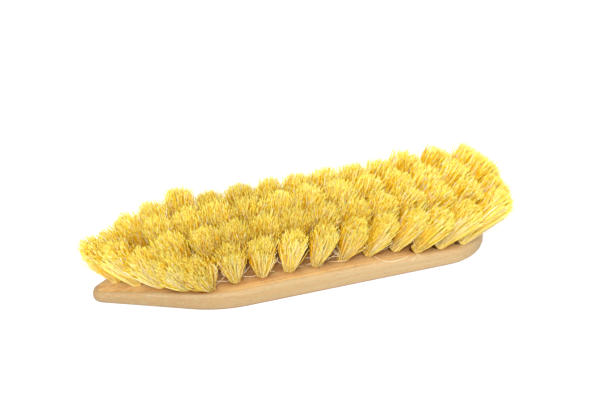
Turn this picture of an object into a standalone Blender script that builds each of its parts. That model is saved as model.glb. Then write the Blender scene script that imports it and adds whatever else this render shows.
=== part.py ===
"""Wooden scrubbing brush with a pointed nose, lying on its back with the bristles up.

Units are metres and +Z is up. The origin is the middle of the block's flat back. +X runs from the
nose to the heel, and the near side is -Y. Lengths along the block are first counted from the nose tip.
"""

import bisect
import math

import bmesh
import bpy
from mathutils import Matrix, Vector
from mathutils.geometry import intersect_point_line

# Block outline
BLOCK_LENGTH = 0.210
BLOCK_WIDTH = 0.0625
NOSE_RADIUS = 0.0056
NOSE_HALF_ANGLE = math.radians(25.7)
SHOULDER_RADIUS = 0.063
HEEL_CORNER_RADIUS = 0.0265
HEEL_END_RADIUS = 0.061

# Block thickness, how far each end's slope reaches, and edges
BLOCK_THICKNESS = 0.0104
NOSE_THICKNESS = 0.0056
NOSE_SLOPE_LENGTH = 0.080
HEEL_THICKNESS = 0.0074
HEEL_SLOPE_LENGTH = 0.085
FACE_EDGE_RADIUS = 0.0025
BACK_EDGE_RADIUS = 0.0016
ROUNDING_LIMIT_SHARE = 0.95

# Drilled holes
HOLE_RADIUS = 0.0028
HOLE_DEPTH = 0.0072
HOLE_FLOOR = 0.0018
HOLE_RIM = 0.0004
SEAT_GAP = 0.0003
CUT_OVERRUN = 0.003

# Bristle tufts
TUFT_LENGTH = 0.0230
TUFT_NOSE_EXTRA = 0.0042
TUFT_HEEL_EXTRA = 0.0058
TUFT_TIP_RADIUS = 0.0064
TUFT_GAP = 0.0004
NECK_HEIGHT = 0.0004
CORE_SHARE = 0.45
STRAND_TIP_GAP = 0.0012
TIP_STEP = 0.0006
TIP_CROWN = 0.0009

# How far a hole would be tilted at the nose tip, at the heel end and at a long edge
NOSE_LEAN = math.radians(40)
HEEL_LEAN = math.radians(53)
SIDE_LEAN = math.radians(20)
LEAN_POWER = 0.85

# Shares of the block's length, from the nose, and of its width, from the middle line
UPRIGHT_SHARE = 0.436
INNER_ROW_SHARE = 0.115
SIDE_ROW_SHARE = 0.333
HEEL_ROW_SHARE = 0.400
ROWS_SHARES = (
    ("near_side", 7, 0.328, 0.737, -SIDE_ROW_SHARE),
    ("near_heel", 3, 0.786, 0.905, -HEEL_ROW_SHARE),
    ("near_inner", 12, 0.230, 0.950, -INNER_ROW_SHARE),
    ("far_inner", 12, 0.212, 0.953, INNER_ROW_SHARE),
    ("far_side", 7, 0.348, 0.738, SIDE_ROW_SHARE),
    ("far_heel", 3, 0.805, 0.936, HEEL_ROW_SHARE),
)
NOSE_SHARES = (
    (0.261, -0.387),
    (0.212, -0.290),
    (0.155, -0.172),
    (0.106, -0.064),
    (0.065, 0.048),
    (0.109, 0.106),
    (0.157, 0.195),
    (0.212, 0.290),
    (0.264, 0.387),
)

# Along a strand, the height and how much of the flare it has there, as shares
STRAND_HEIGHT_SHARES = (0.48, 1.0)
STRAND_FLARE_SHARES = (0.36, 1.0)

# Facets of round shapes
NOSE_ARC_STEPS = 5
TAPER_STEPS = 4
SHOULDER_ARC_STEPS = 7
HEEL_SLOPE_STEPS = 4
CORNER_ARC_STEPS = 7
END_ARC_STEPS = 4
EDGE_STEPS = 3
SHARP_ANGLE = math.radians(35)
HOLE_SIDES = 12
STRANDS_ROUND = 6
TWIST_STEP = math.radians(137.5)

BEECH_HEX = "dfb688"
FIBRE_HEX = "eccb58"


def clear_scene():
    """Remove every object that is already in the scene."""
    for obj in list(bpy.data.objects):
        bpy.data.objects.remove(obj, do_unlink=True)


def linear(code):
    """An sRGB hex colour as linear red, green, blue and alpha."""
    parts = [int(code[at : at + 2], 16) / 255 for at in (0, 2, 4)]
    return [p / 12.92 if p <= 0.04045 else ((p + 0.055) / 1.055) ** 2.4 for p in parts] + [1.0]


def material(name, code, roughness):
    """A Principled material with one colour."""
    made = bpy.data.materials.new(name)
    made.use_nodes = True
    shader = made.node_tree.nodes["Principled BSDF"]
    shader.inputs["Base Color"].default_value = linear(code)
    shader.inputs["Roughness"].default_value = roughness
    shader.inputs["Metallic"].default_value = 0.0
    return made


def new_object(name, bm, finish):
    """An object in the scene from a bmesh, which is freed."""
    bmesh.ops.recalc_face_normals(bm, faces=bm.faces)
    mesh = bpy.data.meshes.new(name)
    bm.to_mesh(mesh)
    bm.free()
    mesh.shade_smooth()
    mesh.set_sharp_from_angle(angle=SHARP_ANGLE)
    if finish:
        mesh.materials.append(finish)
    obj = bpy.data.objects.new(name, mesh)
    bpy.context.scene.collection.objects.link(obj)
    return obj


def arc(centre, radius, start, end, steps):
    """Points on an arc, each with the direction from its centre: x, y, normal x, normal y."""
    turned = [start + (end - start) * step / steps for step in range(steps + 1)]
    return [
        (
            centre[0] + radius * math.cos(turn),
            centre[1] + radius * math.sin(turn),
            math.cos(turn),
            math.sin(turn),
        )
        for turn in turned
    ]


def between(first, last, steps):
    """Points spaced evenly between two outline points, without the two themselves."""
    shares = [step / steps for step in range(1, steps)]
    return [tuple(a + (b - a) * share for a, b in zip(first, last)) for share in shares]


def half_outline():
    """The far half of the block seen from above, from the nose tip to the middle of the heel."""
    half = BLOCK_WIDTH / 2
    side = math.pi / 2
    taper = side + NOSE_HALF_ANGLE
    nose = arc((NOSE_RADIUS, 0.0), NOSE_RADIUS, math.pi, taper, NOSE_ARC_STEPS)
    # The shoulder arc touches both the tapered edge and the long edge.
    reach = (half - SHOULDER_RADIUS) * math.cos(NOSE_HALF_ANGLE) + SHOULDER_RADIUS - NOSE_RADIUS
    shoulder_x = reach / math.sin(NOSE_HALF_ANGLE) + NOSE_RADIUS
    shoulder_centre = (shoulder_x, half - SHOULDER_RADIUS)
    shoulder = arc(shoulder_centre, SHOULDER_RADIUS, taper, side, SHOULDER_ARC_STEPS)
    # The heel's corner arc touches the long edge and, from inside, the shallow end arc.
    corner_radius = min(HEEL_CORNER_RADIUS, half * ROUNDING_LIMIT_SHARE)
    end_radius = max(HEEL_END_RADIUS, half / ROUNDING_LIMIT_SHARE)
    end_centre = BLOCK_LENGTH - end_radius
    corner_y = half - corner_radius
    corner_run = math.sqrt((end_radius - corner_radius) ** 2 - corner_y**2)
    corner_turn = math.atan2(corner_y, corner_run)
    corner_centre = (end_centre + corner_run, corner_y)
    corner = arc(corner_centre, corner_radius, side, corner_turn, CORNER_ARC_STEPS)
    end = arc((end_centre, 0.0), end_radius, corner_turn, 0.0, END_ARC_STEPS)[1:]
    # The long edge has points where the face's two slopes start, and along the heel's slope.
    level = [
        (x, half, 0.0, 1.0)
        for x in sorted((NOSE_SLOPE_LENGTH, BLOCK_LENGTH - HEEL_SLOPE_LENGTH))
        if shoulder[-1][0] < x < corner[0][0]
    ]
    sloping = between(level[-1] if level else shoulder[-1], corner[0], HEEL_SLOPE_STEPS)
    tapered = between(nose[-1], shoulder[0], TAPER_STEPS)
    return nose + tapered + shoulder + level + sloping + corner + end


def face_height(x):
    """Height of the bristle face, which falls away towards the nose and the heel."""
    nose_share = max(0.0, 1 - x / NOSE_SLOPE_LENGTH)
    heel_share = max(0.0, 1 - (BLOCK_LENGTH - x) / HEEL_SLOPE_LENGTH)
    nose_drop = (BLOCK_THICKNESS - NOSE_THICKNESS) * nose_share**2
    heel_drop = (BLOCK_THICKNESS - HEEL_THICKNESS) * heel_share**2
    return BLOCK_THICKNESS - nose_drop - heel_drop


def edge_radii():
    """Radius of the back's and of the face's rounded edge, as far as the thinner end has room."""
    thinnest = min(face_height(0.0), face_height(BLOCK_LENGTH))
    room_share = thinnest * ROUNDING_LIMIT_SHARE / (BACK_EDGE_RADIUS + FACE_EDGE_RADIUS)
    fit = min(1.0, room_share)
    return BACK_EDGE_RADIUS * fit, FACE_EDGE_RADIUS * fit


def edge_rings():
    """Each ring of the wall, from back to face: its inset, and its height as a function of x."""
    back_radius, face_radius = edge_radii()
    rings = []
    for step in range(EDGE_STEPS + 1):
        turn = math.pi / 2 * step / EDGE_STEPS
        inset = back_radius * (1 - math.sin(turn))
        rise = back_radius * (1 - math.cos(turn))
        rings.append((inset, lambda x, rise=rise: rise))
    for step in range(EDGE_STEPS + 1):
        turn = math.pi / 2 * step / EDGE_STEPS
        inset = face_radius * (1 - math.cos(turn))
        fall = face_radius * (1 - math.sin(turn))
        rings.append((inset, lambda x, fall=fall: face_height(x) - fall))
    return rings


def block_mesh():
    """The block lofted from its back to its bristle face through rings of its outline."""
    half = half_outline()
    mirrored = [(x, -y, nx, -ny) for x, y, nx, ny in half[-2:0:-1]]
    outline = half + mirrored
    count = len(outline)
    bm = bmesh.new()
    rings = []
    for inset, height in edge_rings():
        ring = []
        for x, y, nx, ny in outline:
            px = x - nx * inset
            ring.append(bm.verts.new((px - BLOCK_LENGTH / 2, y - ny * inset, height(px))))
        rings.append(ring)
    for lower, upper in zip(rings, rings[1:]):
        for at in range(count):
            after = (at + 1) % count
            bm.faces.new((lower[at], lower[after], upper[after], upper[at]))
    bm.faces.new(rings[0])
    # Strips across the face, each level from side to side, because the height follows x alone.
    face = rings[-1]
    for at in range(len(half) - 1):
        corners = [face[at], face[at + 1]]
        for other in (count - at - 1, count - at):
            vert = face[other % count]
            if vert not in corners:
                corners.append(vert)
        bm.faces.new(corners)
    return bm


def hole_limits():
    """The widest place for a hole's centre, as x and y, so that its rim stays on the face."""
    margin = FACE_EDGE_RADIUS + HOLE_RADIUS + HOLE_RIM
    limits = [(x - nx * margin, y - ny * margin) for x, y, nx, ny in half_outline()]
    limits.sort()
    return limits


def widest(limits, x):
    """The greatest distance from the middle line that a hole's centre may have at x."""
    at = bisect.bisect(limits, (x, 0.0))
    at = min(max(at, 1), len(limits) - 1)
    (x0, y0), (x1, y1) = limits[at - 1], limits[at]
    share = (x - x0) / (x1 - x0) if x1 > x0 else 0.0
    return max(0.0, y0 + (y1 - y0) * min(max(share, 0.0), 1.0))


def tuft_places():
    """Name, x from the nose and y of each tuft."""
    limits = hole_limits()
    places = []
    for number, (x_share, y_share) in enumerate(NOSE_SHARES, 1):
        places.append((f"tuft_nose_{number:02d}", x_share, y_share))
    for row, count, first, last, y_share in ROWS_SHARES:
        for place in range(count):
            x_share = first + (last - first) * place / (count - 1)
            places.append((f"tuft_{row}_{place + 1:02d}", x_share, y_share))
    fitted = []
    for name, x_share, y_share in places:
        x = x_share * BLOCK_LENGTH
        limit = widest(limits, x)
        fitted.append((name, x, min(max(y_share * BLOCK_WIDTH, -limit), limit)))
    return fitted


def end_shares(x):
    """How far x lies from the upright tufts towards the nose tip and towards the heel end."""
    upright = UPRIGHT_SHARE * BLOCK_LENGTH
    return max(0.0, 1 - x / upright), max(0.0, (x - upright) / (BLOCK_LENGTH - upright))


def hole_frame(x, y):
    """Matrix of a hole: its mouth on the face and +Z along its axis, out of the block."""
    nose_share, heel_share = end_shares(x)
    along = HEEL_LEAN * heel_share**LEAN_POWER - NOSE_LEAN * nose_share**LEAN_POWER
    across = SIDE_LEAN * y / (BLOCK_WIDTH / 2)
    axis = Vector((math.tan(along), math.tan(across), 1.0)).normalized()
    mouth = Vector((x - BLOCK_LENGTH / 2, y, face_height(x)))
    turn = Vector((0.0, 0.0, 1.0)).rotation_difference(axis)
    return Matrix.Translation(mouth) @ turn.to_matrix().to_4x4(), axis


def hole_depth(x, axis):
    """Depth along the hole's axis, which leaves a floor under the lowest point of its end."""
    slope = math.sqrt(1 - axis.z**2)
    room = (face_height(x) - HOLE_FLOOR - HOLE_RADIUS * slope) / axis.z
    return min(HOLE_DEPTH, room)


def drill(block, places):
    """One Boolean cut of the block with a cylinder for each hole."""
    bm = bmesh.new()
    for _, x, y in places:
        frame, axis = hole_frame(x, y)
        depth = hole_depth(x, axis)
        rise = HOLE_RADIUS * math.sqrt(1 - axis.z**2) / axis.z + CUT_OVERRUN
        middle = Matrix.Translation((0.0, 0.0, (rise - depth) / 2))
        bmesh.ops.create_cone(
            bm,
            cap_ends=True,
            segments=HOLE_SIDES,
            radius1=HOLE_RADIUS,
            radius2=HOLE_RADIUS,
            depth=depth + rise,
            matrix=frame @ middle,
        )
    cutters = new_object("hole_cutters", bm, None)
    cutters.hide_render = True
    cutters.display_type = "WIRE"
    cut = block.modifiers.new("drilled holes", "BOOLEAN")
    cut.operation = "DIFFERENCE"
    cut.solver = "EXACT"
    cut.object = cutters


def centroid(points):
    """The middle of some points."""
    return sum(points, Vector((0.0, 0.0))) / len(points)


def hexagon(radius):
    """Corners round the tuft's axis, one for each strand of the outer ring."""
    turns = [2 * math.pi * at / STRANDS_ROUND for at in range(STRANDS_ROUND)]
    return [Vector((math.cos(turn), math.sin(turn))) * radius for turn in turns]


def tuft_length(x):
    """Length of a tuft above the face, which grows towards both ends."""
    nose_share, heel_share = end_shares(x)
    return TUFT_LENGTH + TUFT_NOSE_EXTRA * nose_share**2 + TUFT_HEEL_EXTRA * heel_share**2


def tip_radii(places):
    """Radius of each tuft's tips, as wide as its nearest neighbours leave room for."""
    stems = []
    for _, x, y in places:
        frame, axis = hole_frame(x, y)
        stems.append((frame.translation, frame.translation + axis * tuft_length(x)))
    radii = []
    for at, (mouth, tip) in enumerate(stems):
        room = TUFT_TIP_RADIUS
        for other_mouth, other_tip in stems[:at] + stems[at + 1 :]:
            nearest, _ = intersect_point_line(tip, other_mouth, other_tip)
            opposite, _ = intersect_point_line(other_tip, mouth, tip)
            apart = min((tip - nearest).length, (other_tip - opposite).length)
            room = min(room, (apart - TUFT_GAP) / 2)
        radii.append(room)
    return radii


def tuft_mesh(depth, neck, length, tip_radius):
    """A folded root that fills the hole, and the strands that flare from it.

    On top of the root, a ring of strands goes round a core that is split in two.
    """
    root_radius = HOLE_RADIUS * math.cos(math.pi / HOLE_SIDES) - SEAT_GAP
    rim = hexagon(root_radius)
    core = hexagon(root_radius * CORE_SHARE)
    ring = [(at, (at + 1) % STRANDS_ROUND) for at in range(STRANDS_ROUND)]
    # Each strand swells, and its middle drifts further out than that, so that gaps open.
    drift = STRAND_TIP_GAP / centroid([core[0], core[1], rim[0], rim[1]]).length
    swell = (tip_radius - STRAND_TIP_GAP) / root_radius
    bm = bmesh.new()
    foot = [bm.verts.new((p.x, p.y, -depth + SEAT_GAP)) for p in rim]
    top = [bm.verts.new((p.x, p.y, neck)) for p in rim]
    inner = [bm.verts.new((p.x, p.y, neck)) for p in core]
    bm.faces.new(foot)
    for a, b in ring:
        bm.faces.new((foot[a], foot[b], top[b], top[a]))
    half = STRANDS_ROUND // 2
    cells = [(inner[a], inner[b], top[b], top[a]) for a, b in ring]
    cells.append(tuple(inner[: half + 1]))
    cells.append(tuple(inner[half:] + inner[:1]))
    for number, corners in enumerate(cells):
        base = [Vector((v.co.x, v.co.y)) for v in corners]
        middle = centroid(base)
        stagger = TIP_STEP * (number % 3)
        crown = TIP_CROWN if number >= STRANDS_ROUND else 0.0
        reach = length - neck - stagger + crown
        lower = corners
        for height_share, flare_share in zip(STRAND_HEIGHT_SHARES, STRAND_FLARE_SHARES):
            scale = 1 + (swell - 1) * flare_share
            moved = [p * scale + middle * (drift * flare_share) for p in base]
            upper = [bm.verts.new((p.x, p.y, neck + reach * height_share)) for p in moved]
            for at in range(len(corners)):
                after = (at + 1) % len(corners)
                bm.faces.new((lower[at], lower[after], upper[after], upper[at]))
            lower = upper
        bm.faces.new(lower)
    return bm


def add_tufts(places, finish):
    """One tuft in each hole."""
    radii = tip_radii(places)
    for number, (name, x, y) in enumerate(places):
        frame, axis = hole_frame(x, y)
        neck = HOLE_RADIUS * math.sqrt(1 - axis.z**2) / axis.z + NECK_HEIGHT
        bm = tuft_mesh(hole_depth(x, axis), neck, tuft_length(x), radii[number])
        tuft = new_object(name, bm, finish)
        tuft.matrix_world = frame @ Matrix.Rotation(TWIST_STEP * number, 4, "Z")


def build():
    """The whole brush."""
    clear_scene()
    beech = material("sanded beech", BEECH_HEX, 0.55)
    fibre = material("plant fibre", FIBRE_HEX, 0.6)
    places = tuft_places()
    block = new_object("block", block_mesh(), beech)
    drill(block, places)
    add_tufts(places, fibre)


build()
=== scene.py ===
"""Dresses a wooden scrubbing brush, which lies on its back, in sanded beech and planted fibre.

Units are metres and +Z is up. The origin is the middle of the block's flat back, +X runs from
the nose to the heel, and the near side is -Y.
"""

import math
import random
from collections import namedtuple

import bmesh
import bpy
from bpy.props import FloatProperty, FloatVectorProperty, IntProperty, PointerProperty
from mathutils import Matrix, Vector


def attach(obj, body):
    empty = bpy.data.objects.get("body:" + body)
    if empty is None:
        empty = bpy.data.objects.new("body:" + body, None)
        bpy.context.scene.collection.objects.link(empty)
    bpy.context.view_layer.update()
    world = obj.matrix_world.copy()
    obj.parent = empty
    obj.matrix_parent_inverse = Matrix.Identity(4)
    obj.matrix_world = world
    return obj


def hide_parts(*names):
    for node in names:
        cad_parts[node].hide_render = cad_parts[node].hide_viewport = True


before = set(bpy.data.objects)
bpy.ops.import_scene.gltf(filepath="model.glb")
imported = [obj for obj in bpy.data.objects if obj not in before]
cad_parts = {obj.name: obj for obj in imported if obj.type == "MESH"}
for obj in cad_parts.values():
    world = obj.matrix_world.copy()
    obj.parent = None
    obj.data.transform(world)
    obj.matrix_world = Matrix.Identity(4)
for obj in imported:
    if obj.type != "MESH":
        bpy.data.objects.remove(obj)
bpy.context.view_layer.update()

bl_info = {
    "name": "Scrubbing brush dressing",
    "version": (1, 0, 0),
    "blender": (4, 5, 0),
    "location": "3D View > Sidebar > Brush",
    "description": "Gives the brush's solids their beech, fibre tufts and a pale studio",
    "category": "Object",
}

MM = 0.001
BODY = "root"
UP = Vector((0.0, 0.0, 1.0))

# Fibre ends that stand up from one hole, how thick one is near its root, and a stray one
FIBRES = 540
FIBRE_DIAMETER = 0.33 * MM
STRAY_DIAMETER = 0.21 * MM
FIBRE_NAME = "trimmed plant fibre"
# A fibre is drawn through this many points, as a tube with this many sides
STRAND_POINTS = 10
STRAND_SIDES = 3
# What its material reads: how far along it is, its own shade, and how open it stands, which sets
# its painted light and shade
FIBRE_READS = ("fibre_along", "fibre_tint", "fibre_open")
# Patterns of the fibre, in cells to the metre: mottling 2 mm long, which is painted speckle of
# light and shade, clumps of tips 3 mm wide, and the bends of a fibre among its neighbours and of a
# stray one
MOTTLING = 520.0
CLUMPS = 330.0
BENDS = 1500.0
STRAY_BENDS = 220.0

# How far a row's longest fibres stand above its solids, and how wide its tufts open
ROWS = {
    "nose": (2.8 * MM, 1.0),
    "near_side": (2.6 * MM, 0.83),
    "near_heel": (2.8 * MM, 0.92),
    "near_inner": (2.8 * MM, 1.05),
    "far_inner": (3.0 * MM, 1.1),
    "far_side": (1.6 * MM, 1.05),
    "far_heel": (2.8 * MM, 1.06),
}
# A piece of fibres holds at most this many tufts, so that it stays light
MOST_TUFTS = 6
# Each row draws its fibres with seeds that start this far from the last row's
ROW_SEEDS = 50
# Each draw for a fibre has a seed this far from the last one's
DRAW_SEEDS = 7.0
# Tufts whose ends have been pushed aside or combed up, and how far
PUSHED = {
    "tuft_nose_01": Vector((-1.5, -0.5, -2.0)) * MM,
    "tuft_nose_02": Vector((-1.5, -0.5, -1.5)) * MM,
    "tuft_nose_03": Vector((0.5, 0.0, -0.5)) * MM,
    "tuft_nose_04": Vector((0.0, 0.0, 1.0)) * MM,
    "tuft_nose_05": Vector((0.5, 0.0, 1.8)) * MM,
    "tuft_nose_07": Vector((-0.5, 1.0, 1.5)) * MM,
    "tuft_nose_08": Vector((0.5, 0.5, 0.7)) * MM,
    "tuft_nose_09": Vector((4.0, 1.0, 1.5)) * MM,
    "tuft_far_side_01": Vector((-0.8, 0.0, -0.7)) * MM,
    "tuft_far_heel_01": Vector((0.0, 0.0, -2.4)) * MM,
    "tuft_far_heel_02": Vector((2.4, 0.6, -3.4)) * MM,
    "tuft_far_heel_03": Vector((1.2, 0.8, -1.4)) * MM,
    "tuft_far_inner_12": Vector((-0.5, 2.0, 0.2)) * MM,
    "tuft_far_inner_02": Vector((0.0, 0.0, 0.5)) * MM,
    "tuft_far_inner_03": Vector((-2.0, 1.0, 0.5)) * MM,
    "tuft_near_inner_01": Vector((-3.0, 0.5, 0.0)) * MM,
    "tuft_near_heel_02": Vector((0.0, 0.0, 1.0)) * MM,
    "tuft_near_heel_03": Vector((3.2, 0.8, 4.6)) * MM,
    "tuft_near_inner_12": Vector((-1.5, 0.0, -0.6)) * MM,
}
# What share of its splay a fibre keeps that points straight down from a leaning tuft, where there
# is less room: more in the nose tufts that droop, and none in the two that are held up
DROOP = 0.15
DROOPS = {
    "tuft_nose_01": 0.55,
    "tuft_nose_02": 0.8,
    "tuft_nose_03": 0.9,
    "tuft_nose_04": 0.5,
    "tuft_nose_05": 0.0,
    "tuft_near_heel_03": 0.0,
}
# The rows stand round this line, and a tuft further from it than this is open on one side
RIDGE_ENDS = (-70 * MM, 88 * MM)
RIM_DISTANCE = 9.5 * MM
# How open that side counts as, at the nose and in the other rows
NOSE_OPENNESS = 1.0
SIDE_OPENNESS = 0.72
# Where the heel's tufts begin to close up, over what length, and how much wider and flatter they
# are at the end of it
HEEL_CLOSES = (45 * MM, 35 * MM)
HEEL_SPREAD = 0.1
HEEL_FLATNESS = 0.5

# Loose fibres on the wood in front of the tufts, in millimetres: where each starts, how far it
# goes over, and how far its middle bows
LAID_FIBRES = (
    ((37.4, -24.6, 10.6), (16.6, -5.6, 0.1), (-2.5, -4.4, 0.3)),
    ((12.8, -21.3, 10.6), (9.6, -3.4, 0.8), (-0.2, -0.5, 0.5)),
    ((58.3, -27.6, 10.6), (1.2, -5.0, 0.1), (0.3, 0.0, 0.3)),
    ((58.6, -30.6, 10.5), (-4.2, -3.2, -0.1), (0.0, -0.4, 0.2)),
    ((10.7, -22.5, 10.6), (-5.1, -5.5, 0.1), (0.4, 0.7, 0.3)),
)
# The rows along the rim, where stray fibres show
EDGE_ROWS = ("nose", "near_side", "near_heel")
# In a tuft nearer the middle line than this, the way out keeps the side that its row gives it
OFF_MIDDLE = 5 * MM
# A stray fibre starts this far out from the middle of its tuft, at most, and this far aside, in
# millimetres
STRAY_OUT = 2.2
STRAY_ASIDE = 1.6
# Kinds of stray fibre: up to which draw a kind is taken, whether it goes to the side that it
# starts on, and then, as ranges in millimetres, how high it starts, how far it goes along the row
# and out, how high it ends, and how far it bows along the row, out and up
StrayKind = namedtuple("StrayKind", "up_to sided rise over height bow")
STRAY_KINDS = (
    # Leaves its tuft low and climbs across the gap beside it
    StrayKind(
        up_to=0.6,
        sided=True,
        rise=(0.3, 2.5),
        over=((2.0, 7.0), (-0.5, 3.5)),
        height=(4.0, 11.0),
        bow=((-0.5, 2.0), (-1.0, 1.0), None),
    ),
    # A broken piece that lies on the wood
    StrayKind(
        up_to=0.85,
        sided=False,
        rise=(0.1, 0.3),
        over=((-5.0, 5.0), (-1.0, 2.0)),
        height=(0.0, 1.5),
        bow=((-0.8, 0.8), None, (0.0, 0.6)),
    ),
    # A long one that arches from tuft to tuft
    StrayKind(
        up_to=1.0,
        sided=True,
        rise=(0.3, 1.5),
        over=((8.0, 13.0), (-1.0, 1.0)),
        height=(0.5, 3.0),
        bow=(None, (0.5, 2.5), (-0.3, 1.5)),
    ),
)

# Patterns of the wood, in cells to the metre along X, Y and Z: growth lines about 1 mm apart that
# run for 50 mm, and ray flecks 3 mm long, which are 0.2 mm wide and are drawn coarser, 0.5 to
# 0.7 mm wide, so that they show
GROWTH_LINES = (20, 750, 1250)
RAY_FLECKS = (330, 1500, 2000)
# Height above the back at which the painted shade of the lower edge begins, and where it is greyest
LOWER_SHADE_EDGE = (5 * MM, 0.5 * MM)
# Where along X the painted light that makes the wood paler towards the heel begins, and where it is
# palest
HEEL_LIGHT = (-100 * MM, 118 * MM)
# Painted shade in the corners round the tufts' feet: how far away the tufts may stand, the middle
# of its stretch along X, and how far from there it begins to thin out and ends
NOOK_SHADE_REACH = 18 * MM
NOOK_SHADE_MIDDLE = 5 * MM
NOOK_SHADE_THINS = (67 * MM, 87 * MM)

# How the photograph was taken
CAMERA_TURN = math.radians(18.75)
CAMERA_RISE = math.radians(36)
CAMERA_DISTANCE = 1.0
SENSOR_WIDTH = 36.0
LENS = 115.2
SHIFT_X = 0.0169
SHIFT_Y = 0.1001
NEAR_CLIP = 0.01
# Half the floor's side, how far it lies under the block, how grey and how bright a camera sees it,
# and the light all round
FLOOR_REACH = 4.0
FLOOR_DROP = 0.05 * MM
FLOOR_GREY = 0.3
FLOOR_GLOW = 0.83
LIGHT_ALL_ROUND = 0.6
WHITE = (1.0, 1.0, 1.0, 1.0)

# The CAD's own mesh of a tuft: corners of its foot, then of its neck and core
FOOT_CORNERS = 6
NECK_CORNERS = 12
WELD = 2e-6
CREASE_ANGLE = math.radians(35)


def linear(code):
    """An sRGB hex colour as linear red, green, blue and alpha."""
    parts = [int(code[at : at + 2], 16) / 255 for at in (0, 2, 4)]
    return [p / 12.92 if p <= 0.04045 else ((p + 0.055) / 1.055) ** 2.4 for p in parts] + [1.0]


def add(tree, kind, feeds=None, stops=(), **settings):
    """Add a node: its settings, its colour stops, then each input's value or what it is fed."""
    made = tree.nodes.new(kind)
    for name, value in settings.items():
        setattr(made, name, value)
    for number, (place, code) in enumerate(stops):
        ramp = made.color_ramp.elements
        stop = ramp[number] if number < 2 else ramp.new(place)
        stop.position = place
        stop.color = linear(code)
    for key, value in (feeds or {}).items():
        socket = made.inputs[key]
        if not socket.enabled:
            socket = next(s for s in made.inputs if s.enabled and s.name == key)
        if isinstance(value, bpy.types.Node):
            value = next(s for s in value.outputs if s.enabled)
        if isinstance(value, bpy.types.NodeSocket):
            tree.links.new(value, socket)
        else:
            socket.default_value = value
    return made


def out(node, name):
    """The output in use that has this name."""
    return next(s for s in node.outputs if s.enabled and s.name == name)


def new_material(name):
    """An empty material and its tree."""
    made = bpy.data.materials.new(name)
    made.use_nodes = True
    made.node_tree.nodes.clear()
    return made, made.node_tree


def sanded_beech():
    """Beech, planed, rounded and sanded fine, with no varnish.

    The eye sees pale brown wood with long faint lines, short darker flecks where the rays are cut,
    and a dull soft shine. Painted light makes the face that carries the tufts lighter and more
    orange where it faces up, and the wood paler towards the heel; painted shade greys the lower
    edge and browns the corners round the tufts' feet.
    """
    made, tree = new_material("sanded beech")
    place = out(add(tree, "ShaderNodeTexCoord"), "Object")
    spot = add(tree, "ShaderNodeSeparateXYZ", {0: place})
    lines_at = add(tree, "ShaderNodeMapping", {"Vector": place, "Scale": GROWTH_LINES})
    lines = add(tree, "ShaderNodeTexNoise", {"Vector": lines_at, "Scale": 1, "Detail": 2})
    flecks_at = add(tree, "ShaderNodeMapping", {"Vector": place, "Scale": RAY_FLECKS})
    flecks = add(tree, "ShaderNodeTexNoise", {"Vector": flecks_at, "Scale": 1, "Detail": 1})
    # Paler wood lies between greyer growth lines.
    grain = add(
        tree,
        "ShaderNodeValToRGB",
        {0: lines},
        stops=(
            (0.32, "aa885a"),
            (0.42, "b68f5c"),
            (0.5, "b49362"),
            (0.58, "a99167"),
            (0.68, "bea272"),
        ),
    )
    # Painted light: where it faces up, the face that carries the tufts is painted a lighter, warmer
    # orange, as light from above and from the yellow fibres would make it.
    painted_top_grain = add(
        tree,
        "ShaderNodeValToRGB",
        {0: lines},
        stops=((0.36, "d89c5c"), (0.5, "f0c07a"), (0.64, "f6d092")),
    )
    facing = add(tree, "ShaderNodeAttribute", attribute_name="facing_up")
    painted_top_share = add(
        tree,
        "ShaderNodeMapRange",
        {"Value": out(facing, "Fac"), "From Min": 0.93, "From Max": 1.0, "To Max": 0.75},
    )
    # Painted shade greys the lower edge, and painted light makes the wood paler towards the heel.
    lower_shade_share, heel_light_share = (
        add(
            tree,
            "ShaderNodeMapRange",
            {"Value": out(spot, axis), "From Min": first, "From Max": last, "To Max": most},
        )
        for axis, (first, last), most in (("Z", LOWER_SHADE_EDGE, 0.35), ("X", HEEL_LIGHT, 0.46))
    )
    # Painted shade browns the wood in the corners round the tufts' feet, where they close it in,
    # less at both ends.
    nook = add(tree, "ShaderNodeAmbientOcclusion", {"Distance": NOOK_SHADE_REACH}, samples=8)
    off_middle = add(
        tree, "ShaderNodeMath", {0: out(spot, "X"), 1: NOOK_SHADE_MIDDLE}, operation="SUBTRACT"
    )
    off_middle = add(tree, "ShaderNodeMath", {0: off_middle}, operation="ABSOLUTE")
    nook_shade_most = add(
        tree,
        "ShaderNodeMapRange",
        {
            "Value": off_middle,
            "From Min": NOOK_SHADE_THINS[0],
            "From Max": NOOK_SHADE_THINS[1],
            "To Min": 0.95,
            "To Max": 0.15,
        },
    )
    nook_shade_share = add(
        tree,
        "ShaderNodeMapRange",
        {"Value": out(nook, "AO"), "From Min": 0.52, "From Max": 0.2, "To Max": nook_shade_most},
    )
    fleck_share = add(
        tree,
        "ShaderNodeMapRange",
        {"Value": flecks, "From Min": 0.58, "From Max": 0.72, "To Max": 0.3},
    )
    colour = grain
    for share, over in (
        (painted_top_share, painted_top_grain),
        (lower_shade_share, linear("a8947a")),
        (heel_light_share, linear("e8ca98")),
        (nook_shade_share, linear("8a4e00")),
        (fleck_share, linear("8a6138")),
    ):
        colour = add(
            tree, "ShaderNodeMix", {"Factor": share, "A": colour, "B": over}, data_type="RGBA"
        )
    bump = add(tree, "ShaderNodeBump", {"Height": lines, "Strength": 0.25, "Distance": 0.05 * MM})
    shader = add(
        tree,
        "ShaderNodeBsdfPrincipled",
        {"Base Color": colour, "Roughness": 0.55, "Normal": bump, "IOR": 1.5},
    )
    add(tree, "ShaderNodeOutputMaterial", {"Surface": shader})
    return made


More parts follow.
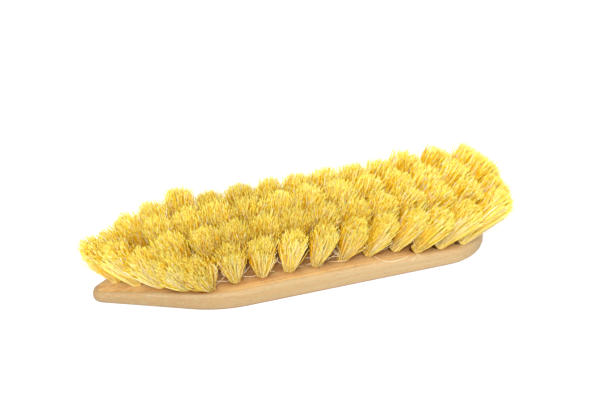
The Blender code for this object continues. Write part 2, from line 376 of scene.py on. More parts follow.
def plant_fibre():
    """Dried plant fibre, combed, folded, punched into the holes and trimmed.

    The eye sees pale straw tips over a deep yellow body, each fibre its own shade, slightly shiny.
    Painted shade makes it deeper gold where it is sheltered, and painted light makes it paler on
    the open side.
    """
    made, tree = new_material(FIBRE_NAME)
    along, tint, opened = (
        out(add(tree, "ShaderNodeAttribute", attribute_name=name), "Fac") for name in FIBRE_READS
    )
    # Each fibre is mottled at random with painted speckles of light and shade, less on the open
    # side of the rows at the rim, where painted light also makes it paler.
    place = out(add(tree, "ShaderNodeTexCoord"), "Object")
    patches = add(tree, "ShaderNodeTexNoise", {"Vector": place, "Scale": MOTTLING, "Detail": 1.0})
    patch = add(
        tree,
        "ShaderNodeMapRange",
        {"Value": patches, "From Min": 0.3, "From Max": 0.7, "To Min": -0.3, "To Max": 0.3},
    )
    even = add(tree, "ShaderNodeMapRange", {"Value": opened, "To Min": 1.0, "To Max": 0.35})
    patch = add(tree, "ShaderNodeMath", {0: patch, 1: even}, operation="MULTIPLY")
    mottled = add(tree, "ShaderNodeMath", {0: tint, 1: patch}, operation="ADD")
    painted_open_light = add(tree, "ShaderNodeMapRange", {"Value": opened, "To Max": 0.2})
    mottled = add(tree, "ShaderNodeMath", {0: mottled, 1: painted_open_light}, operation="ADD")
    shade = add(
        tree,
        "ShaderNodeValToRGB",
        {0: mottled},
        stops=(
            (0.0, "e09c00"),
            (0.35, "f6cc10"),
            (0.55, "ffe72c"),
            (0.8, "fff27c"),
            (0.95, "fff4b8"),
            (1.0, "fff4dc"),
        ),
    )
    # Painted shade makes it deeper gold half way down where it is sheltered; where it leaves the
    # hole it is paler, painted light that is strongest on the open side.
    sheltered = add(tree, "ShaderNodeMapRange", {"Value": opened, "To Min": 0.75, "To Max": 0.1})
    painted_shade_gold_share = add(
        tree,
        "ShaderNodeMapRange",
        {"Value": along, "From Min": 0.96, "From Max": 0.55, "To Max": sheltered},
    )
    foot = add(
        tree,
        "ShaderNodeValToRGB",
        {0: tint},
        stops=((0.0, "ac7404"), (0.35, "e4b82c"), (0.6, "fcec80"), (1.0, "fffbd4")),
    )
    foot_strength = add(
        tree, "ShaderNodeMapRange", {"Value": opened, "To Min": 0.55, "To Max": 0.9}
    )
    foot = add(
        tree,
        "ShaderNodeMix",
        {"Factor": foot_strength, "A": linear("e2ac1c"), "B": foot},
        data_type="RGBA",
    )
    foot_share = add(
        tree,
        "ShaderNodeMapRange",
        {"Value": along, "From Min": 0.5, "From Max": 0.2, "To Max": 0.9},
    )
    # Painted light: fibres on the open side of the rows at the rim are paler.
    painted_open_pale_share = add(tree, "ShaderNodeMapRange", {"Value": opened, "To Max": 0.24})
    # The cut end is pale.
    cut_share = add(
        tree,
        "ShaderNodeMapRange",
        {"Value": along, "From Min": 0.93, "From Max": 0.99, "To Max": 0.85},
    )
    colour = shade
    for share, over in (
        (painted_shade_gold_share, linear("fec40e")),
        (foot_share, foot),
        (painted_open_pale_share, linear("fff4a4")),
        (cut_share, linear("fff67e")),
    ):
        colour = add(
            tree, "ShaderNodeMix", {"Factor": share, "A": colour, "B": over}, data_type="RGBA"
        )
    shader = add(
        tree,
        "ShaderNodeBsdfPrincipled",
        {"Base Color": colour, "Roughness": 0.45, "IOR": 1.5, "Specular IOR Level": 0.12},
    )
    add(tree, "ShaderNodeOutputMaterial", {"Surface": shader})
    return made


def new_tree(name, inputs):
    """A geometry tree that takes points and these inputs, and its input node."""
    tree = bpy.data.node_groups.new(name, "GeometryNodeTree")
    face = tree.interface
    face.new_socket("Geometry", in_out="INPUT", socket_type="NodeSocketGeometry")
    for title, kind, value in inputs:
        socket = face.new_socket(title, in_out="INPUT", socket_type=kind)
        if value is not None:
            socket.default_value = value
    face.new_socket("Geometry", in_out="OUTPUT", socket_type="NodeSocketGeometry")
    return tree, add(tree, "NodeGroupInput")


def spoke(tree, known, turn, length):
    """A vector of this length at right angles to the tuft's axis, at this turn about it."""
    cosine = add(tree, "ShaderNodeMath", {0: turn}, operation="COSINE")
    sine = add(tree, "ShaderNodeMath", {0: turn}, operation="SINE")
    other = add(
        tree,
        "ShaderNodeVectorMath",
        {0: known["axis"], 1: known["side"]},
        operation="CROSS_PRODUCT",
    )
    one = add(tree, "ShaderNodeVectorMath", {0: known["side"], "Scale": cosine}, operation="SCALE")
    two = add(tree, "ShaderNodeVectorMath", {0: other, "Scale": sine}, operation="SCALE")
    both = add(tree, "ShaderNodeVectorMath", {0: one, 1: two}, operation="ADD")
    return add(tree, "ShaderNodeVectorMath", {0: both, "Scale": length}, operation="SCALE")


def swayed(tree, noise, amount, middle=(0.5, 0.5, 0.5)):
    """The noise's colour as a vector about this middle, times the amount."""
    sway = add(
        tree, "ShaderNodeVectorMath", {0: out(noise, "Color"), 1: middle}, operation="SUBTRACT"
    )
    return add(tree, "ShaderNodeVectorMath", {0: sway, "Scale": amount}, operation="SCALE")


def strands_on(tree, points, fields):
    """A short straight strand on each point, and the node that gives it the point's own values."""
    kept = add(tree, "GeometryNodeCaptureAttribute", {0: points})
    for name, kind, source in fields:
        kept.capture_items.new(kind, name)
        tree.links.new(next(s for s in source.outputs if s.enabled), kept.inputs[name])
    points = out(kept, "Geometry")
    strand = add(tree, "GeometryNodeCurvePrimitiveLine", {"Start": (0, 0, 0), "End": (0, 0, MM)})
    strand = add(tree, "GeometryNodeResampleCurve", {"Curve": strand, "Count": STRAND_POINTS})
    strands = add(tree, "GeometryNodeInstanceOnPoints", {"Points": points, "Instance": strand})
    return add(tree, "GeometryNodeRealizeInstances", {"Geometry": strands}), kept


def skinned(tree, strands, reads, thick, material):
    """Thin tubes along the strands, as real faces in this material, with what it reads."""
    for name, value in zip(FIBRE_READS, reads):
        strands = add(
            tree,
            "GeometryNodeStoreNamedAttribute",
            {"Geometry": strands, "Name": name, "Value": value},
            data_type="FLOAT",
            domain="POINT",
        )
    section = add(
        tree, "GeometryNodeCurvePrimitiveCircle", {"Resolution": STRAND_SIDES, "Radius": 1.0}
    )
    skin = add(
        tree,
        "GeometryNodeCurveToMesh",
        {"Curve": strands, "Profile Curve": section, "Scale": thick, "Fill Caps": True},
    )
    skin = add(tree, "GeometryNodeSetShadeSmooth", {"Geometry": skin, "Shade Smooth": False})
    skin = add(tree, "GeometryNodeRealizeInstances", {"Geometry": skin})
    return add(tree, "GeometryNodeSetMaterial", {"Geometry": skin, "Material": material})


def planting_tree():
    """Geometry nodes that plant each tuft's fibres from one point that carries its place."""
    tree, given = new_tree(
        "plant the tufts",
        (
            ("Fibres in a tuft", "NodeSocketInt", FIBRES),
            ("Fibre diameter", "NodeSocketFloat", FIBRE_DIAMETER),
            ("Neck radius", "NodeSocketFloat", 3.0 * MM),
            ("Tip radius", "NodeSocketFloat", 9.2 * MM),
            ("Crown", "NodeSocketFloat", 5.5 * MM),
            ("Unevenness", "NodeSocketFloat", 4.6 * MM),
            ("Clumping", "NodeSocketFloat", 3.2 * MM),
            ("Crinkle", "NodeSocketFloat", 4.2 * MM),
            ("Straying", "NodeSocketFloat", 6.5 * MM),
            ("Seed", "NodeSocketInt", 1),
            ("Fibre material", "NodeSocketMaterial", None),
        ),
    )
    fibres = add(
        tree,
        "GeometryNodeDuplicateElements",
        {"Geometry": given, "Amount": out(given, "Fibres in a tuft")},
        domain="POINT",
    )
    # Seven draws for each fibre, from 0 to 1.
    draws = []
    for step in range(7):
        seed = add(
            tree, "ShaderNodeMath", {0: out(given, "Seed"), 1: DRAW_SEEDS * step}, operation="ADD"
        )
        draws.append(add(tree, "FunctionNodeRandomValue", {"Min": 0.0, "Max": 1.0, "Seed": seed}))
    turn_draw, ring_draw, length_draw, tint_draw, stray_draw, width_draw, cross_draw = draws
    # What the tuft's point carries.
    known = {}
    for name, kind in (
        ("axis", "FLOAT_VECTOR"),
        ("side", "FLOAT_VECTOR"),
        ("pushed", "FLOAT_VECTOR"),
        ("rim", "FLOAT_VECTOR"),
        ("reach", "FLOAT"),
        ("spread", "FLOAT"),
        ("crown", "FLOAT"),
        ("droop", "FLOAT"),
    ):
        read = add(tree, "GeometryNodeInputNamedAttribute", {"Name": name}, data_type=kind)
        known[name] = out(read, "Attribute")
    neck = add(tree, "GeometryNodeInputPosition")
    # Each fibre's place in the bundle, as a vector out from the axis.
    turn = add(tree, "ShaderNodeMath", {0: turn_draw, 1: math.tau}, operation="MULTIPLY")
    ring = add(tree, "ShaderNodeMath", {0: ring_draw, 1: 0.5}, operation="POWER")
    outward = spoke(tree, known, turn, ring)
    # It stands elsewhere in the neck than at the tip, so that the fibres cross.
    swing = add(tree, "ShaderNodeMapRange", {"Value": cross_draw, "To Min": -1.3, "To Max": 1.3})
    foot_turn = add(tree, "ShaderNodeMath", {0: turn, 1: swing}, operation="ADD")
    inner = add(
        tree,
        "ShaderNodeVectorMath",
        {0: spoke(tree, known, foot_turn, ring), "Scale": out(given, "Neck radius")},
        operation="SCALE",
    )
    # How far it stands on the side that is open, for the rows at the rim, which also sets its
    # painted light and shade.
    facing = add(
        tree, "ShaderNodeVectorMath", {0: outward, 1: known["rim"]}, operation="DOT_PRODUCT"
    )
    facing = add(
        tree,
        "ShaderNodeMapRange",
        {"Value": out(facing, "Value"), "From Min": -0.05, "From Max": 0.55},
    )
    # Its rise along the axis: lower towards the bundle's edge, and uneven.
    ring_squared = add(tree, "ShaderNodeMath", {0: ring, 1: 2.0}, operation="POWER")
    dip = add(
        tree, "ShaderNodeMath", {0: ring_squared, 1: out(given, "Crown")}, operation="MULTIPLY"
    )
    dip = add(tree, "ShaderNodeMath", {0: dip, 1: known["crown"]}, operation="MULTIPLY")
    fall = add(tree, "ShaderNodeMath", {0: length_draw, 1: 2.0}, operation="POWER")
    fall = add(
        tree, "ShaderNodeMath", {0: fall, 1: out(given, "Unevenness")}, operation="MULTIPLY"
    )
    loose = add(tree, "ShaderNodeMapRange", {"Value": ring, "To Min": 0.35, "To Max": 1.2})
    fall = add(tree, "ShaderNodeMath", {0: fall, 1: loose}, operation="MULTIPLY")
    short = add(tree, "ShaderNodeMath", {0: dip, 1: fall}, operation="ADD")
    height = add(tree, "ShaderNodeMath", {0: known["reach"], 1: short}, operation="SUBTRACT")
    climb = add(
        tree, "ShaderNodeVectorMath", {0: known["axis"], "Scale": height}, operation="SCALE"
    )
    # How far its end drifts out from where it stands in the neck.
    wide = add(tree, "ShaderNodeMapRange", {"Value": width_draw, "To Min": 0.75, "To Max": 1.25})
    wide = add(tree, "ShaderNodeMath", {0: wide, 1: known["spread"]}, operation="MULTIPLY")
    wide = add(
        tree, "ShaderNodeMath", {0: wide, 1: out(given, "Tip radius")}, operation="MULTIPLY"
    )
    wide = add(
        tree, "ShaderNodeMath", {0: wide, 1: out(given, "Neck radius")}, operation="SUBTRACT"
    )
    # Under a leaning tuft there is less room, so a fibre that points down splays less.
    level = add(tree, "ShaderNodeSeparateXYZ", {0: outward})
    level = add(
        tree,
        "ShaderNodeMapRange",
        {"Value": out(level, "Z"), "From Min": -0.8, "From Max": 0.0, "To Min": known["droop"]},
    )
    wide = add(tree, "ShaderNodeMath", {0: wide, 1: level}, operation="MULTIPLY")
    splay = add(tree, "ShaderNodeVectorMath", {0: outward, "Scale": wide}, operation="SCALE")
    splay = add(tree, "ShaderNodeVectorMath", {0: splay, 1: known["pushed"]}, operation="ADD")
    # Ends that lie close together are drawn the same way, so that they clump.
    end = add(tree, "ShaderNodeVectorMath", {0: neck, 1: climb}, operation="ADD")
    end = add(tree, "ShaderNodeVectorMath", {0: end, 1: splay}, operation="ADD")
    clump = add(tree, "ShaderNodeTexNoise", {"Vector": end, "Scale": CLUMPS, "Detail": 1.0})
    clump = swayed(tree, clump, out(given, "Clumping"))
    splay = add(tree, "ShaderNodeVectorMath", {0: splay, 1: clump}, operation="ADD")
    # A few fibres bend well away from the others, and a little more down than up.
    stray = add(tree, "ShaderNodeMath", {0: stray_draw, 1: 5.0}, operation="POWER")
    stray = add(
        tree, "ShaderNodeMath", {0: stray, 1: out(given, "Straying")}, operation="MULTIPLY"
    )
    away = add(tree, "ShaderNodeTexWhiteNoise", {"Vector": end})
    away = swayed(tree, away, stray, (0.5, 0.5, 0.6))
    splay = add(tree, "ShaderNodeVectorMath", {0: splay, 1: away}, operation="ADD")
    strands, kept = strands_on(
        tree,
        out(fibres, "Geometry"),
        (
            ("neck", "VECTOR", neck),
            ("inner", "VECTOR", inner),
            ("climb", "VECTOR", climb),
            ("splay", "VECTOR", splay),
            ("tint", "FLOAT", tint_draw),
            ("facing", "FLOAT", facing),
            ("stout", "FLOAT", width_draw),
        ),
    )
    # A fibre starts a little below the hole's mouth and is packed there; above it, it flares.
    along = out(add(tree, "GeometryNodeSplineParameter"), "Factor")
    rise = add(tree, "ShaderNodeMath", {0: along, 1: 1.2}, operation="POWER")
    rise = add(tree, "ShaderNodeMapRange", {"Value": rise, "To Min": -0.12, "To Max": 1.0})
    above = add(tree, "ShaderNodeMath", {0: rise, 1: 0.0}, operation="MAXIMUM")
    flare = add(tree, "ShaderNodeMath", {0: above, 1: 0.78}, operation="POWER")
    risen = add(
        tree, "ShaderNodeVectorMath", {0: out(kept, "climb"), "Scale": rise}, operation="SCALE"
    )
    flared = add(
        tree, "ShaderNodeVectorMath", {0: out(kept, "splay"), "Scale": flare}, operation="SCALE"
    )
    start = add(
        tree, "ShaderNodeVectorMath", {0: out(kept, "neck"), 1: out(kept, "inner")}, operation="ADD"
    )
    place = add(tree, "ShaderNodeVectorMath", {0: start, 1: risen}, operation="ADD")
    place = add(tree, "ShaderNodeVectorMath", {0: place, 1: flared}, operation="ADD")
    # It wavers on its way up, nearly as its neighbours do, and less on the open side.
    spot = add(tree, "ShaderNodeVectorMath", {0: out(kept, "splay"), 1: start}, operation="ADD")
    spot = add(tree, "ShaderNodeVectorMath", {0: spot, "Scale": BENDS}, operation="SCALE")
    step = add(tree, "ShaderNodeMath", {0: along, 1: 10.0}, operation="MULTIPLY")
    step = add(tree, "ShaderNodeCombineXYZ", {"X": step, "Z": step})
    spot = add(tree, "ShaderNodeVectorMath", {0: spot, 1: step}, operation="ADD")
    waver = add(tree, "ShaderNodeTexNoise", {"Vector": spot, "Scale": 1.0, "Detail": 0.0})
    amount = add(tree, "ShaderNodeMath", {0: above, 1: 1.8}, operation="POWER")
    calm = add(
        tree, "ShaderNodeMapRange", {"Value": out(kept, "facing"), "To Min": 1.0, "To Max": 0.35}
    )
    amount = add(tree, "ShaderNodeMath", {0: amount, 1: calm}, operation="MULTIPLY")
    amount = add(
        tree, "ShaderNodeMath", {0: amount, 1: out(given, "Crinkle")}, operation="MULTIPLY"
    )
    waver = swayed(tree, waver, amount)
    place = add(tree, "ShaderNodeVectorMath", {0: place, 1: waver}, operation="ADD")
    strands = add(tree, "GeometryNodeSetPosition", {"Geometry": strands, "Position": place})
    # Its radius: finer towards its end and where it is packed, and its own from fibre to fibre.
    thick = add(
        tree,
        "ShaderNodeMapRange",
        {"Value": along, "From Min": 0.6, "From Max": 1.0, "To Min": 0.5, "To Max": 0.38},
    )
    packed = add(
        tree,
        "ShaderNodeMapRange",
        {"Value": along, "From Min": 0.1, "From Max": 0.45, "To Min": 0.8, "To Max": 1.1},
    )
    stout = add(
        tree, "ShaderNodeMapRange", {"Value": out(kept, "stout"), "To Min": 0.7, "To Max": 1.2}
    )
    for share in (packed, stout, out(given, "Fibre diameter")):
        thick = add(tree, "ShaderNodeMath", {0: thick, 1: share}, operation="MULTIPLY")
    reads = (along, out(kept, "tint"), out(kept, "facing"))
    skin = skinned(tree, strands, reads, thick, out(given, "Fibre material"))
    add(tree, "NodeGroupOutput", {"Geometry": skin})
    return tree


def straying_tree():
    """Geometry nodes that draw one bowed fibre from each point to where its attributes say."""
    tree, given = new_tree(
        "lay the stray fibres",
        (
            ("Fibre diameter", "NodeSocketFloat", STRAY_DIAMETER),
            ("Crinkle", "NodeSocketFloat", 1.2 * MM),
            ("Fibre material", "NodeSocketMaterial", None),
        ),
    )
    start = add(tree, "GeometryNodeInputPosition")
    over, bow = (
        add(tree, "GeometryNodeInputNamedAttribute", {"Name": name}, data_type="FLOAT_VECTOR")
        for name in ("over", "bow")
    )
    strands, kept = strands_on(
        tree,
        out(given, "Geometry"),
        (("start", "VECTOR", start), ("over", "VECTOR", over), ("bow", "VECTOR", bow)),
    )
    # It goes straight over, with an arch on top that is whole half way.
    along = out(add(tree, "GeometryNodeSplineParameter"), "Factor")
    left = add(tree, "ShaderNodeMath", {0: 1.0, 1: along}, operation="SUBTRACT")
    arch = add(tree, "ShaderNodeMath", {0: left, 1: along}, operation="MULTIPLY")
    arch = add(tree, "ShaderNodeMath", {0: arch, 1: 4.0}, operation="MULTIPLY")
    place = out(kept, "start")
    for way, share in (("over", along), ("bow", arch)):
        moved = add(
            tree, "ShaderNodeVectorMath", {0: out(kept, way), "Scale": share}, operation="SCALE"
        )
        place = add(tree, "ShaderNodeVectorMath", {0: place, 1: moved}, operation="ADD")
    waver = add(tree, "ShaderNodeTexNoise", {"Vector": place, "Scale": STRAY_BENDS, "Detail": 0.0})
    amount = add(tree, "ShaderNodeMath", {0: arch, 1: out(given, "Crinkle")}, operation="MULTIPLY")
    waver = swayed(tree, waver, amount)
    place = add(tree, "ShaderNodeVectorMath", {0: place, 1: waver}, operation="ADD")
    strands = add(tree, "GeometryNodeSetPosition", {"Geometry": strands, "Position": place})
    thick = add(
        tree, "ShaderNodeMath", {0: out(given, "Fibre diameter"), 1: 0.5}, operation="MULTIPLY"
    )
    # Its shade is the palest, that of an open fibre near its end, with the open side's painted
    # light.
    skin = skinned(tree, strands, (0.8, 1.0, 1.0), thick, out(given, "Fibre material"))
    add(tree, "NodeGroupOutput", {"Geometry": skin})
    return tree


def socket_ids(tree):
    """The identifiers of a tree's inputs, by name."""
    items = tree.interface.items_tree
    return {item.name: item.identifier for item in items if item.in_out == "INPUT"}


def link(obj):
    """Show an object in the scene."""
    bpy.context.scene.collection.objects.link(obj)
    return obj


def carry(mesh, name, values):
    """Give each vertex its own number or vector, as an attribute of this name."""
    if isinstance(values[0], Vector):
        made = mesh.attributes.new(name, "FLOAT_VECTOR", "POINT")
        made.data.foreach_set("vector", [c for value in values for c in value])
    else:
        made = mesh.attributes.new(name, "FLOAT", "POINT")
        made.data.foreach_set("value", values)


def made_plain(obj, name):
    """A plain mesh object of what the modifiers on obj make; obj is removed."""
    graph = bpy.context.evaluated_depsgraph_get()
    mesh = bpy.data.meshes.new_from_object(obj.evaluated_get(graph))
    mesh.name = name
    plain = link(bpy.data.objects.new(name, mesh))
    bpy.data.objects.remove(obj)
    return plain


def tuft_names(row):
    """The CAD tufts of one row, in order."""
    names = sorted(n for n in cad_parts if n[:-3] == "tuft_" + row)
    if not names:
        raise RuntimeError(f"the frame has no tufts in row {row}")
    return names


def tuft_stem(node):
    """A tuft's neck, its direction and its reach above the neck, from its solid."""
    corners = {}
    for vert in node.data.vertices:
        corners[tuple(round(c / WELD) for c in vert.co)] = vert.co.copy()
    points = sorted(corners.values(), key=lambda p: p.z)
    foot = sum(points[:FOOT_CORNERS], Vector()) / FOOT_CORNERS
    necks = points[FOOT_CORNERS : FOOT_CORNERS + NECK_CORNERS]
    neck = sum(necks, Vector()) / NECK_CORNERS
    axis = (neck - foot).normalized()
    reach = max((p - neck).dot(axis) for p in points)
    return neck, axis, reach


def open_side(neck):
    """The way out of the brush from a tuft in a row at the rim, or no way from an inner one."""
    ridge = Vector((min(max(neck.x, RIDGE_ENDS[0]), RIDGE_ENDS[1]), 0, neck.z))
    away = neck - ridge
    return away.normalized() if away.length > RIM_DISTANCE else Vector()


def stem_points(name, nodes, above, spread):
    """One vertex at each tuft's neck, which carries its direction and reach as attributes."""
    necks, axes, reaches = zip(*(tuft_stem(node) for node in nodes))
    mesh = bpy.data.meshes.new(name)
    mesh.from_pydata(necks, [], [])
    carry(mesh, "pushed", [PUSHED.get(node.name, Vector()) for node in nodes])
    carry(mesh, "axis", axes)
    carry(mesh, "side", [axis.orthogonal().normalized() for axis in axes])
    openness = NOSE_OPENNESS if name.startswith("nose") else SIDE_OPENNESS
    carry(mesh, "rim", [open_side(neck) * openness for neck in necks])
    # Towards the heel the tufts stand open wider and flatter, so that their tips close up.
    start, length = HEEL_CLOSES
    closed = [min(max((neck.x - start) / length, 0.0), 1.0) for neck in necks]
    carry(mesh, "spread", [spread * (1 + HEEL_SPREAD * share) for share in closed])
    carry(mesh, "crown", [1 - HEEL_FLATNESS * share for share in closed])
    carry(mesh, "droop", [DROOPS.get(node.name, DROOP) for node in nodes])
    carry(mesh, "reach", [reach + above for reach in reaches])
    return mesh


def drawn(draw, spans, ways):
    """A vector that goes a drawn length each way that has a span."""
    total = Vector()
    for span, way in zip(spans, ways):
        if span:
            total += way * draw.uniform(*span)
    return total


def stray_points(name, draw, count):
    """Where each stray fibre starts, how far it goes over and how it bows, as one vertex each."""
    starts, overs, bows = ([Vector(part) * MM for part in parts] for parts in zip(*LAID_FIBRES))
    for row in EDGE_ROWS:
        necks = [tuft_stem(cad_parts[n])[0] for n in tuft_names(row)]
        for number, neck in enumerate(necks):
            if number + 1 < len(necks):
                after = necks[number + 1]
            else:
                after = neck * 2 - necks[number - 1]
            along_row = (after - neck).normalized()
            outward = along_row.cross(UP).normalized()
            if outward.dot(neck) < 0 and abs(neck.y) > OFF_MIDDLE:
                outward = -outward
            for _ in range(count):
                chosen = draw.random()
                kind = next(k for k in STRAY_KINDS if chosen < k.up_to)
                way = draw.choice((-1.0, 1.0))
                aside = outward * draw.uniform(0.0, STRAY_OUT) + along_row * way * STRAY_ASIDE
                rise = UP * draw.uniform(*kind.rise)
                ways = (along_row * way if kind.sided else along_row, outward, UP)
                over = drawn(draw, kind.over, ways)
                over.z = draw.uniform(*kind.height)
                starts.append(neck + aside * MM + rise * MM)
                overs.append(over * MM)
                bows.append(drawn(draw, kind.bow, ways) * MM)
    mesh = bpy.data.meshes.new(name)
    mesh.from_pydata(starts, [], [])
    carry(mesh, "over", overs)
    carry(mesh, "bow", bows)
    return mesh


def aimed(name, data, place):
    """A camera or lamp at this place, turned to the brush."""
    made = link(bpy.data.objects.new(name, data))
    made.location = place
    made.rotation_euler = (-Vector(place)).to_track_quat("-Z", "Y").to_euler()
    return made


def studio_floor(colour):
    """The pale floor's material: a camera sees it white, but for the brush's shadow."""
    made, tree = new_material("white studio floor")
    path = add(tree, "ShaderNodeLightPath")
    seen = out(path, "Is Camera Ray")
    for ray in ("Is Glossy Ray", "Is Transmission Ray"):
        seen = add(tree, "ShaderNodeMath", {0: seen, 1: out(path, ray)}, operation="MAXIMUM")
    grey = (FLOOR_GREY, FLOOR_GREY, FLOOR_GREY, 1.0)
    plain = add(tree, "ShaderNodeBsdfDiffuse", {"Color": (*colour, 1.0)})
    dull = add(tree, "ShaderNodeBsdfDiffuse", {"Color": grey})
    glow = add(tree, "ShaderNodeEmission", {"Color": WHITE, "Strength": FLOOR_GLOW})
    shown = add(tree, "ShaderNodeAddShader", {0: dull, 1: glow})
    mixed = add(tree, "ShaderNodeMixShader", {0: seen, 1: plain, 2: shown})
    add(tree, "ShaderNodeOutputMaterial", {"Surface": mixed})
    return made


def studio_world():
    """Soft light from all round, which a camera sees as white."""
    world = bpy.data.worlds.new("white studio")
    world.use_nodes = True
    tree = world.node_tree
    tree.nodes.clear()
    path = add(tree, "ShaderNodeLightPath")
    soft = add(tree, "ShaderNodeBackground", {"Color": WHITE, "Strength": LIGHT_ALL_ROUND})
    white = add(tree, "ShaderNodeBackground", {"Color": WHITE, "Strength": 1.0})
    mixed = add(tree, "ShaderNodeMixShader", {0: out(path, "Is Camera Ray"), 1: soft, 2: white})
    add(tree, "ShaderNodeOutputWorld", {"Surface": mixed})
    return world


class BlockSettings(bpy.types.PropertyGroup):
    """Settings of the wooden block."""

    crease: FloatProperty(
        name="Crease angle",
        description="Edges of the block that turn more than this stay sharp",
        default=CREASE_ANGLE,
        subtype="ANGLE",
    )


class FibreSettings(bpy.types.PropertyGroup):
    """Settings of the planted fibres."""

    count: IntProperty(
        name="Fibres in a tuft",
        description="Fibre ends that stand up from one hole",
        default=FIBRES,
        min=10,
        max=590,
    )
    diameter: FloatProperty(
        name="Fibre diameter",
        description="Thickness of one fibre near its root",
        default=FIBRE_DIAMETER,
        subtype="DISTANCE",
        unit="LENGTH",
    )
    seed: IntProperty(name="Seed", description="Draws the fibres' places anew", default=4)


class StraySettings(bpy.types.PropertyGroup):
    """Settings of the stray fibres."""

    count: IntProperty(
        name="Strays at a tuft",
        description="Stray fibres that leave the foot of each tuft along the rim",
        default=8,
        min=0,
        max=20,
    )
    diameter: FloatProperty(
        name="Stray diameter",
        description="Thickness of a stray fibre",
        default=STRAY_DIAMETER,
        subtype="DISTANCE",
        unit="LENGTH",
    )
    seed: IntProperty(name="Seed", description="Draws the stray fibres anew", default=7)


class StageSettings(bpy.types.PropertyGroup):
    """Settings of the floor, lamps and camera."""

    key: FloatProperty(
        name="Key lamp",
        description="Power of the soft lamp above the brush",
        default=11.3,
        subtype="POWER",
        unit="POWER",
    )
    floor: FloatVectorProperty(
        name="Floor colour",
        description="Colour of the pale floor",
        default=linear("c8c8c6")[:3],
        size=3,
        subtype="COLOR",
    )


class BRUSH_OT_finish_block(bpy.types.Operator):
    """Give the beech block its smooth edges and its wood"""

    bl_idname = "brush_dressing.finish_block"
    bl_label = "Finish the block"

    def execute(self, context):
        bm = bmesh.new()
        bm.from_mesh(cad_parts["block"].data)
        bmesh.ops.remove_doubles(bm, verts=bm.verts, dist=WELD)
        bmesh.ops.recalc_face_normals(bm, faces=bm.faces)
        for face in bm.faces:
            face.smooth = True
        for edge in bm.edges:
            edge.smooth = edge.calc_face_angle(0.0) < context.scene.brush_block.crease
        mesh = bpy.data.meshes.new("beech_block")
        bm.to_mesh(mesh)
        bm.free()
        mesh.materials.append(sanded_beech())
        # The flat top keeps its own facing up to the rounded edge.
        rounded = link(bpy.data.objects.new("block_to_shade", mesh))
        evened = rounded.modifiers.new("even", "WEIGHTED_NORMAL")
        evened.mode = "FACE_AREA"
        evened.weight = 100
        evened.keep_sharp = True
        block = made_plain(rounded, "beech_block")
        # How far each corner of the wood faces up, where its material paints the top lighter and
        # warmer, as painted light.
        facing = [max(0.0, normal.vector.z) for normal in block.data.corner_normals]
        shares = block.data.attributes.new("facing_up", "FLOAT", "CORNER")
        shares.data.foreach_set("value", facing)
        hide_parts("block")
        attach(block, BODY)
        return {"FINISHED"}


class BRUSH_OT_plant_fibres(bpy.types.Operator):
    """Plant the fibres of every tuft, one or two pieces for each row"""

    bl_idname = "brush_dressing.plant_fibres"
    bl_label = "Plant the fibres"

    def execute(self, context):
        settings = context.scene.brush_fibre
        tree = planting_tree()
        fibre = plant_fibre()
        inputs = socket_ids(tree)
        for number, (row, (above, spread)) in enumerate(ROWS.items()):
            names = tuft_names(row)
            for first in range(0, len(names), MOST_TUFTS):
                part = names[first : first + MOST_TUFTS]
                title = f"{row}_fibres_{first // MOST_TUFTS + 1}"
                nodes = [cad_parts[n] for n in part]
                points = stem_points(title, nodes, above, spread)
                planted = link(bpy.data.objects.new(title + "_points", points))
                planting = planted.modifiers.new("planting", "NODES")
                planting.node_group = tree
                planting[inputs["Fibres in a tuft"]] = settings.count
                planting[inputs["Fibre diameter"]] = settings.diameter
                planting[inputs["Seed"]] = settings.seed + ROW_SEEDS * number + first
                planting[inputs["Fibre material"]] = fibre
                piece = made_plain(planted, title)
                if not piece.data.polygons:
                    raise RuntimeError(f"the piece {title} came out empty")
                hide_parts(*part)
                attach(piece, BODY)
        return {"FINISHED"}


class BRUSH_OT_lay_strays(bpy.types.Operator):
    """Lay the stray fibres about the feet of the tufts along the rim"""

    bl_idname = "brush_dressing.lay_strays"
    bl_label = "Lay the stray fibres"

    def execute(self, context):
        settings = context.scene.brush_stray
        points = stray_points("stray_points", random.Random(settings.seed), settings.count)
        laid = link(bpy.data.objects.new("stray_points", points))
        laying = laid.modifiers.new("laying", "NODES")
        laying.node_group = straying_tree()
        inputs = socket_ids(laying.node_group)
        laying[inputs["Fibre diameter"]] = settings.diameter
        laying[inputs["Fibre material"]] = bpy.data.materials[FIBRE_NAME]
        piece = made_plain(laid, "stray_fibres")
        if not piece.data.polygons:
            raise RuntimeError("the stray fibres came out empty")
        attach(piece, BODY)
        return {"FINISHED"}


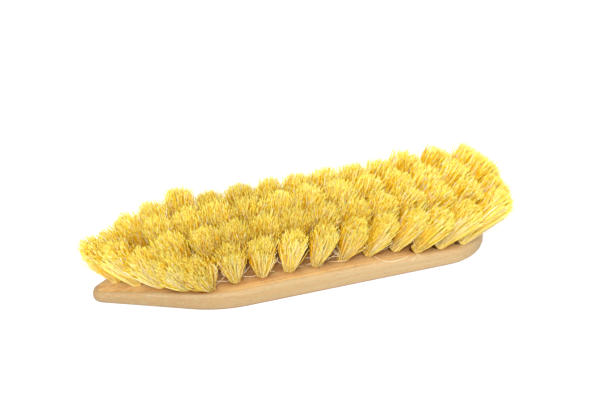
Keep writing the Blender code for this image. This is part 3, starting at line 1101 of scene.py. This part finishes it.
class BRUSH_OT_set_stage(bpy.types.Operator):
    """Lay the pale floor and set the lamps, the backdrop and the camera"""

    bl_idname = "brush_dressing.set_stage"
    bl_label = "Set the stage"

    def execute(self, context):
        settings = context.scene.brush_stage
        scene = context.scene
        scene.view_settings.view_transform = "Standard"
        camera = bpy.data.cameras.new("camera")
        camera.sensor_width = SENSOR_WIDTH
        camera.lens = LENS
        camera.shift_x = SHIFT_X
        camera.shift_y = SHIFT_Y
        camera.clip_start = NEAR_CLIP
        back = Vector(
            (
                -math.sin(CAMERA_TURN) * math.cos(CAMERA_RISE),
                -math.cos(CAMERA_TURN) * math.cos(CAMERA_RISE),
                math.sin(CAMERA_RISE),
            )
        )
        scene.camera = aimed("camera", camera, back * CAMERA_DISTANCE)
        mesh = bpy.data.meshes.new("floor")
        corners = [(-1, -1), (1, -1), (1, 1), (-1, 1)]
        corners = [(x * FLOOR_REACH, y * FLOOR_REACH, -FLOOR_DROP) for x, y in corners]
        mesh.from_pydata(corners, [], [(0, 1, 2, 3)])
        mesh.materials.append(studio_floor(settings.floor))
        link(bpy.data.objects.new("floor", mesh))
        # Each lamp's name, place, side and power.
        for name, place, size, power in (
            ("key lamp", (-0.5, -0.9, 0.95), 0.5, settings.key),
            ("top lamp", (-0.2, 0.0, 1.3), 0.9, 7.0),
            ("front lamp", (-0.4, -1.3, 0.35), 1.0, 7.0),
            ("right lamp", (1.2, -0.8, 0.2), 0.8, 2.4),
        ):
            lamp = bpy.data.lights.new(name, "AREA")
            lamp.size = size
            lamp.energy = power
            aimed(name, lamp, place)
        scene.world = studio_world()
        return {"FINISHED"}


class BRUSH_PT_dressing(bpy.types.Panel):
    """Lists the steps that dress the brush"""

    bl_idname = "BRUSH_PT_dressing"
    bl_label = "Brush dressing"
    bl_space_type = "VIEW_3D"
    bl_region_type = "UI"
    bl_category = "Brush"

    def draw(self, context):
        for title, group, step in (
            ("Block", context.scene.brush_block, BRUSH_OT_finish_block),
            ("Fibre", context.scene.brush_fibre, BRUSH_OT_plant_fibres),
            ("Stray fibres", context.scene.brush_stray, BRUSH_OT_lay_strays),
            ("Stage", context.scene.brush_stage, BRUSH_OT_set_stage),
        ):
            box = self.layout.box()
            box.label(text=title)
            for name in group.__annotations__:
                box.prop(group, name)
            box.operator(step.bl_idname)


CLASSES = (
    BlockSettings,
    FibreSettings,
    StraySettings,
    StageSettings,
    BRUSH_OT_finish_block,
    BRUSH_OT_plant_fibres,
    BRUSH_OT_lay_strays,
    BRUSH_OT_set_stage,
    BRUSH_PT_dressing,
)


def register():
    for cls in CLASSES:
        bpy.utils.register_class(cls)
    bpy.types.Scene.brush_block = PointerProperty(type=BlockSettings)
    bpy.types.Scene.brush_fibre = PointerProperty(type=FibreSettings)
    bpy.types.Scene.brush_stray = PointerProperty(type=StraySettings)
    bpy.types.Scene.brush_stage = PointerProperty(type=StageSettings)


def unregister():
    del bpy.types.Scene.brush_stage
    del bpy.types.Scene.brush_stray
    del bpy.types.Scene.brush_fibre
    del bpy.types.Scene.brush_block
    for cls in reversed(CLASSES):
        bpy.utils.unregister_class(cls)


def main():
    """Dress the brush in order."""
    register()
    bpy.ops.brush_dressing.finish_block()
    bpy.ops.brush_dressing.plant_fibres()
    bpy.ops.brush_dressing.lay_strays()
    bpy.ops.brush_dressing.set_stage()


if __name__ == "__main__":
    main()
